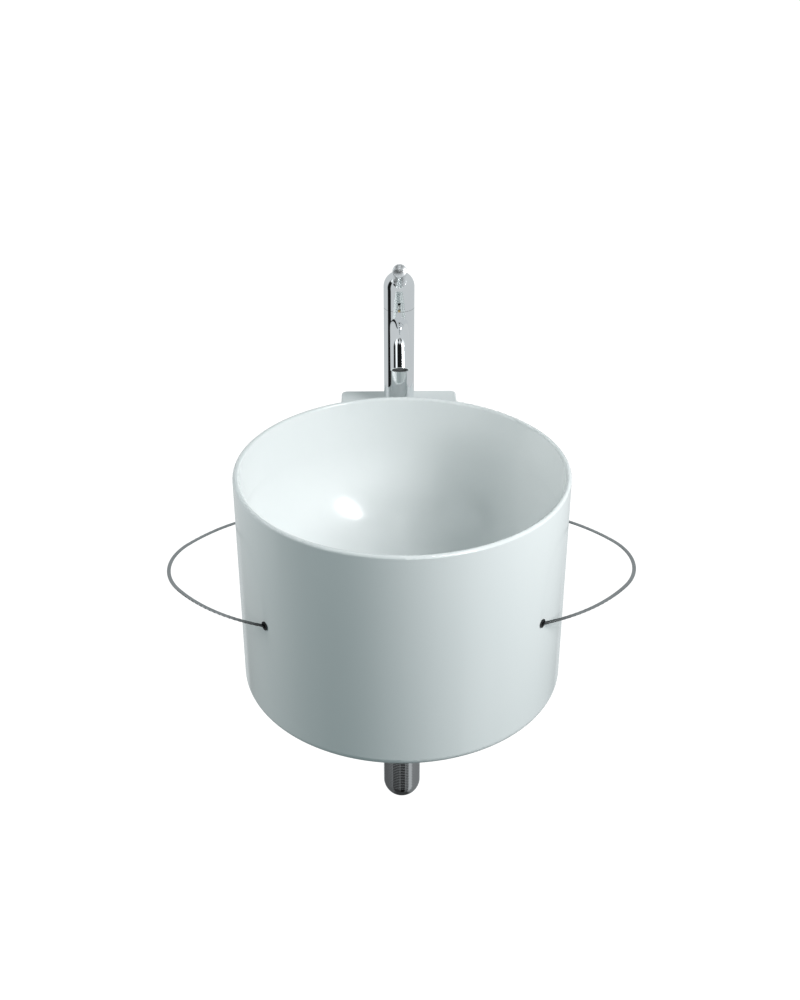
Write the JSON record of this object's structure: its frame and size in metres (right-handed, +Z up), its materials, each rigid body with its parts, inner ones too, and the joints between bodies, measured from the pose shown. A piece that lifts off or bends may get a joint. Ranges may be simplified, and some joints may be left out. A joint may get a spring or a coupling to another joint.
{
  "type": "wall hung basin",
  "caption": "Round white wall hung basin with a tap ledge, a curved towel hoop on each side, a column mixer tap with a stick lever, a push-open waste and a chromed bottle trap.",
  "frame": {"origin": "midway between the two wall bolt holes, on the face that lies against the wall", "axes": "+X to the right for someone at the basin, +Y into the wall, +Z up"},
  "size_m": [0.5816, 0.515, 0.6843],
  "materials": {
    "glazed_white": "gloss",
    "chrome_plate": "polished",
    "plain_brass": "machined",
    "steel": "brushed",
    "zinc_plate": "satin",
    "black_rubber": "matt",
    "black_plastic": "satin",
    "grey_plastic": "matt",
    "white_plastic": "matt"
  },
  "bodies": {
    "basin": {"basin_body": "glazed_white", "left_towel_hoop": "chrome_plate", "right_towel_hoop": "chrome_plate", "hoop_bushes": "black_plastic", "hoop_washers": "steel", "hoop_nuts": "steel", "tap_column": "chrome_plate", "tap_seal": "black_rubber", "tap_cartridge": "grey_plastic", "cartridge_nut": "plain_brass", "tap_spout": "chrome_plate", "aerator_housing": "black_plastic", "aerator_insert": "black_plastic", "clamp_pad": "black_rubber", "clamp_plate": "zinc_plate", "tap_stud": "zinc_plate", "tap_stud_nut": "plain_brass", "waste_flange": "chrome_plate", "waste_upper_seal": "black_rubber", "waste_lower_seal": "black_rubber", "waste_washer": "white_plastic", "waste_nut": "plain_brass", "plug_guide": "white_plastic", "trap_inlet_nut": "chrome_plate", "trap_inlet_pipe": "chrome_plate", "trap_inlet_seal": "black_rubber", "trap_body": "chrome_plate", "trap_top_nut": "chrome_plate", "trap_top_seal": "black_rubber", "trap_outlet_nut": "chrome_plate", "trap_outlet_seal": "black_rubber", "trap_outlet_pipe": "chrome_plate", "wall_rosette": "chrome_plate", "trap_cup": "chrome_plate", "trap_cup_seal": "black_rubber"},
    "cap": {"tap_cap": "chrome_plate", "cap_bearing": "black_plastic"},
    "lever": {"lever_collar": "chrome_plate", "lever_ring": "black_rubber", "lever_stem": "steel", "lever_grip": "chrome_plate"},
    "plug": {"waste_plug": "chrome_plate", "plug_stem": "plain_brass", "plug_seal": "black_rubber"}
  },
  "joints": [
    {"name": "cap_turn", "type": "hinge", "parent": "basin", "child": "cap", "pos_m": [0, -0.037, 0.224], "axis": [0, 0, 1], "range_deg": [-45, 45]},
    {"name": "lever_lift", "type": "hinge", "parent": "cap", "child": "lever", "pos_m": [0, -0.037, 0.224], "axis": [-1, 0, 0], "range_deg": [0, 20]},
    {"name": "plug_rise", "type": "slide", "parent": "basin", "child": "plug", "axis": [0, 0, 1], "range_m": [0, 0.008]}
  ]
}
